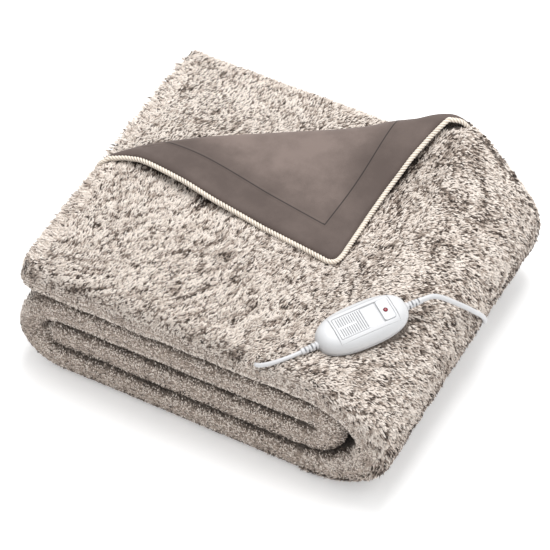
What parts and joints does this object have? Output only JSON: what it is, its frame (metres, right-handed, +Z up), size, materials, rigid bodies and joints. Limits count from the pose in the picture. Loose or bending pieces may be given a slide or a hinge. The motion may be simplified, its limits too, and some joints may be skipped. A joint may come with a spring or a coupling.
{
  "type": "electric heated blanket",
  "caption": "Long-pile heated throw folded into a soft stack, back corner turned over to show the lining, with a slide hand controller and its leads.",
  "frame": {"origin": "under the middle of the folded blanket, on the surface it lies on", "axes": "X along the front of the stack from its open end to its big fold, Y from front to back, +Z up"},
  "size_m": [0.4966, 0.5266, 0.2221],
  "materials": {
    "fur_cloth": "long mottled pile, matt",
    "lining_cloth": "smooth brushed microfibre",
    "cream_cord": "twisted cord, satin",
    "white_shell": "polished",
    "slide_white": "satin, fine ribs",
    "panel_white": "polished",
    "lamp_red": "clear tinted lens, off",
    "white_rubber": "soft moulded",
    "white_cord": "smooth sheath",
    "nickel": "plated"
  },
  "bodies": {
    "blanket": {"blanket_cloth": "fur_cloth", "underside_lining": "lining_cloth", "piping": "cream_cord", "controller_base": "white_shell", "controller_cover": "white_shell", "indicator_panel": "panel_white", "lamp": "lamp_red", "strain_relief_mains": "white_rubber", "strain_relief_blanket": "white_rubber", "mains_lead": "white_cord", "blanket_lead": "white_cord", "mains_coil": "white_cord", "mains_lead_end": "white_cord", "plug_body": "white_rubber", "plug_pin_front": "nickel", "plug_pin_back": "nickel"},
    "heat_slide": {"slider": "slide_white"}
  },
  "joints": [
    {"name": "heat_travel", "type": "slide", "parent": "blanket", "child": "heat_slide", "axis": [0.5588, 0.8284, 0.0379], "range_m": [0, 0.019]}
  ]
}
